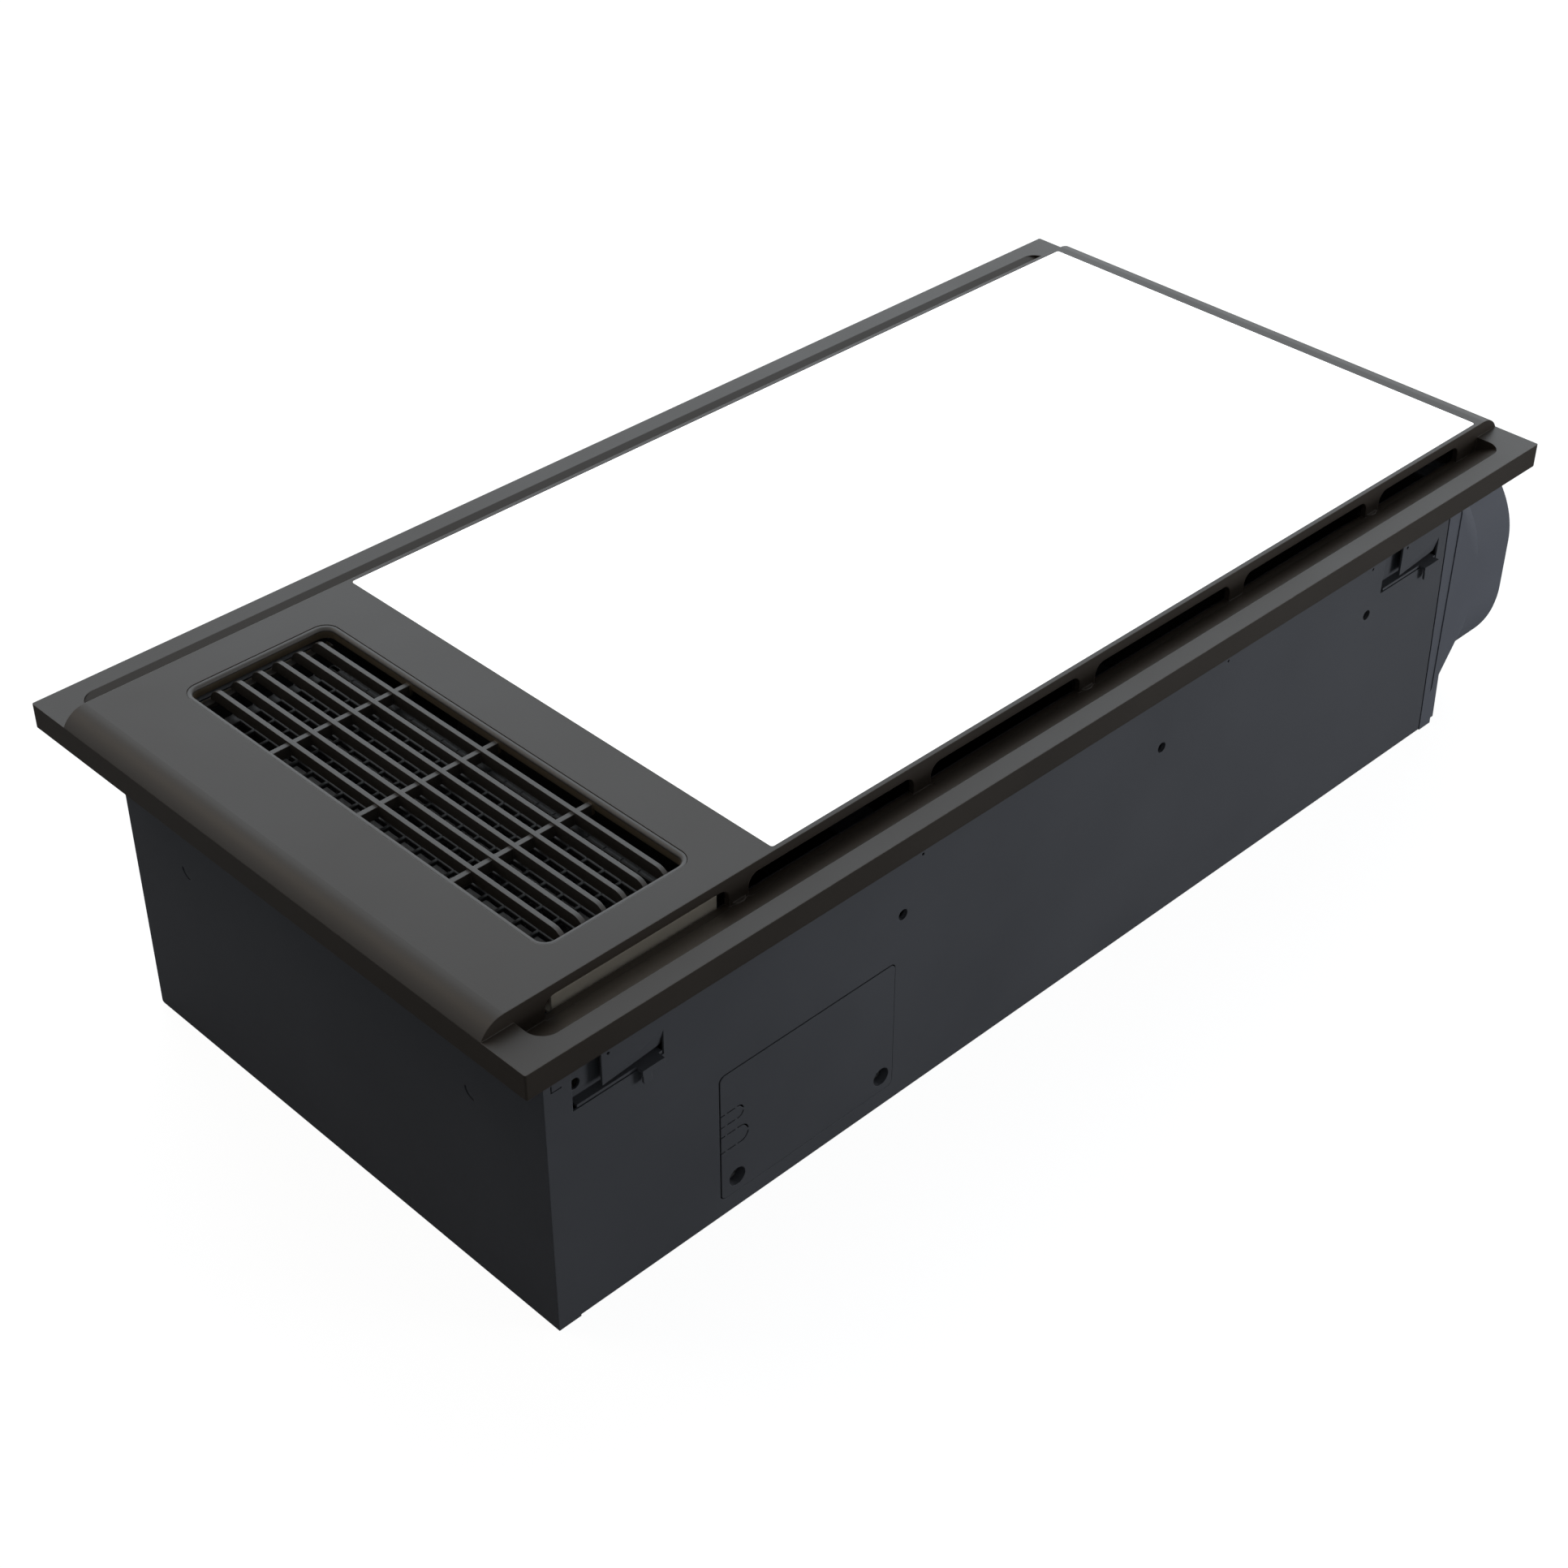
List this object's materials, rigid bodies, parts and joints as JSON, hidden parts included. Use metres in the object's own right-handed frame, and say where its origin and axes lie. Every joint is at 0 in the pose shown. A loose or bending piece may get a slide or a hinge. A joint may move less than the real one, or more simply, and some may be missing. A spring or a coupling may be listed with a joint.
{
  "type": "bathroom ceiling heater",
  "caption": "Ceiling unit with a heated air outlet behind a grille, a flat light, side air intakes, sprung ceiling catches and a flapped duct outlet at one end.",
  "frame": {"origin": "centre of the housing's back, which faces the ceiling void in use", "axes": "+X along the long side towards the duct outlet, +Y across, +Z from the back towards the room; the unit lies face up"},
  "size_m": [0.627, 0.3, 0.163],
  "materials": {
    "panel_plastic": "satin",
    "grille_plastic": "satin",
    "guard_plastic": "matt",
    "diffuser": "opal",
    "clear_plastic": "clear",
    "white_sheet": "matt",
    "lamp_board": "matt",
    "black_paint": "satin",
    "galvanised": "spangled",
    "zinc_steel": "satin",
    "dark_screw": "satin",
    "adaptor_plastic": "satin",
    "flap_plastic": "satin",
    "aluminium": "mill",
    "heater_insulation": "matt",
    "scroll_plastic": "satin",
    "wheel_plastic": "satin",
    "motor_steel": "satin",
    "rubber": "matt",
    "bronze": "sintered",
    "circuit_board": "satin",
    "terminal_plastic": "satin",
    "relay_plastic": "satin",
    "cover_plastic": "satin"
  },
  "bodies": {
    "casing": {"adaptor_screws": "dark_screw", "board_relays": "relay_plastic", "board_screws": "zinc_steel", "board_standoffs": "terminal_plastic", "catch_lugs": "black_paint", "catch_pins": "zinc_steel", "control_board": "circuit_board", "cord_clamp": "terminal_plastic", "duct_adaptor": "adaptor_plastic", "duct_gasket": "rubber", "face_panel": "panel_plastic", "flap_pin": "zinc_steel", "flap_spring": "zinc_steel", "floor_screws": "zinc_steel", "guard_mesh": "guard_plastic", "heater_box": "galvanised", "heater_end_caps": "heater_insulation", "heater_fins": "aluminium", "heater_terminals": "zinc_steel", "heater_tubes": "aluminium", "housing": "black_paint", "light_back_tray": "black_paint", "light_diffuser": "diffuser", "light_driver": "terminal_plastic", "light_guide_plate": "clear_plastic", "light_reflector_sheet": "white_sheet", "light_strips": "lamp_board", "light_tray_screws": "zinc_steel", "motor_capacitor": "motor_steel", "outlet_grille": "grille_plastic", "panel_screws": "zinc_steel", "side_screws": "dark_screw", "terminal_block": "terminal_plastic", "thermal_cutout": "heater_insulation", "thermal_fuse": "zinc_steel", "vent_cover": "scroll_plastic", "vent_gasket": "rubber", "vent_motor": "motor_steel", "vent_mounts": "rubber", "vent_scroll": "scroll_plastic", "wall_brackets": "black_paint", "warm_bush": "bronze", "warm_motor": "motor_steel", "warm_motor_bracket": "zinc_steel", "warm_scroll": "scroll_plastic", "warm_side_plate": "scroll_plastic", "wiring_box": "black_paint", "wiring_cover": "cover_plastic", "wiring_cover_screws": "dark_screw"},
    "warm_fan": {"warm_wheel": "wheel_plastic", "warm_shaft": "zinc_steel"},
    "vent_fan": {"vent_wheel": "wheel_plastic", "vent_shaft": "zinc_steel"},
    "flap": {"backdraft_flap": "flap_plastic"},
    "catch_near_outlet": {"catch_near_outlet": "black_paint"},
    "catch_near_duct": {"catch_near_duct": "black_paint"},
    "catch_far_outlet": {"catch_far_outlet": "black_paint"},
    "catch_far_duct": {"catch_far_duct": "black_paint"}
  },
  "joints": [
    {"name": "warm_fan_spin", "type": "hinge", "parent": "casing", "child": "warm_fan", "pos_m": [-0.105, 0, 0.078], "axis": [0, 1, 0], "continuous": true},
    {"name": "vent_fan_spin", "type": "hinge", "parent": "casing", "child": "vent_fan", "pos_m": [0.15, 0.01, 0.06], "axis": [0, 0, 1], "continuous": true},
    {"name": "flap_swing", "type": "hinge", "parent": "casing", "child": "flap", "pos_m": [0.2892, -0.0716, 0.033], "axis": [0, 1, 0], "range_deg": [0, 58], "stiffness_Nm_per_rad": 0.02, "springref_deg": -20.05},
    {"name": "catch_near_outlet_swing", "type": "hinge", "parent": "casing", "child": "catch_near_outlet", "pos_m": [-0.2685, -0.1232, 0.1195], "axis": [0, 0, 1], "range_deg": [0, 2.6], "stiffness_Nm_per_rad": 1, "springref_deg": -4.58},
    {"name": "catch_far_outlet_swing", "type": "hinge", "parent": "casing", "child": "catch_far_outlet", "pos_m": [-0.2685, 0.1232, 0.1195], "axis": [0, 0, -1], "range_deg": [0, 2.6], "stiffness_Nm_per_rad": 1, "springref_deg": -4.58},
    {"name": "catch_near_duct_swing", "type": "hinge", "parent": "casing", "child": "catch_near_duct", "pos_m": [0.2145, -0.1232, 0.1195], "axis": [0, 0, 1], "range_deg": [0, 2.6], "stiffness_Nm_per_rad": 1, "springref_deg": -4.58},
    {"name": "catch_far_duct_swing", "type": "hinge", "parent": "casing", "child": "catch_far_duct", "pos_m": [0.2145, 0.1232, 0.1195], "axis": [0, 0, -1], "range_deg": [0, 2.6], "stiffness_Nm_per_rad": 1, "springref_deg": -4.58}
  ]
}
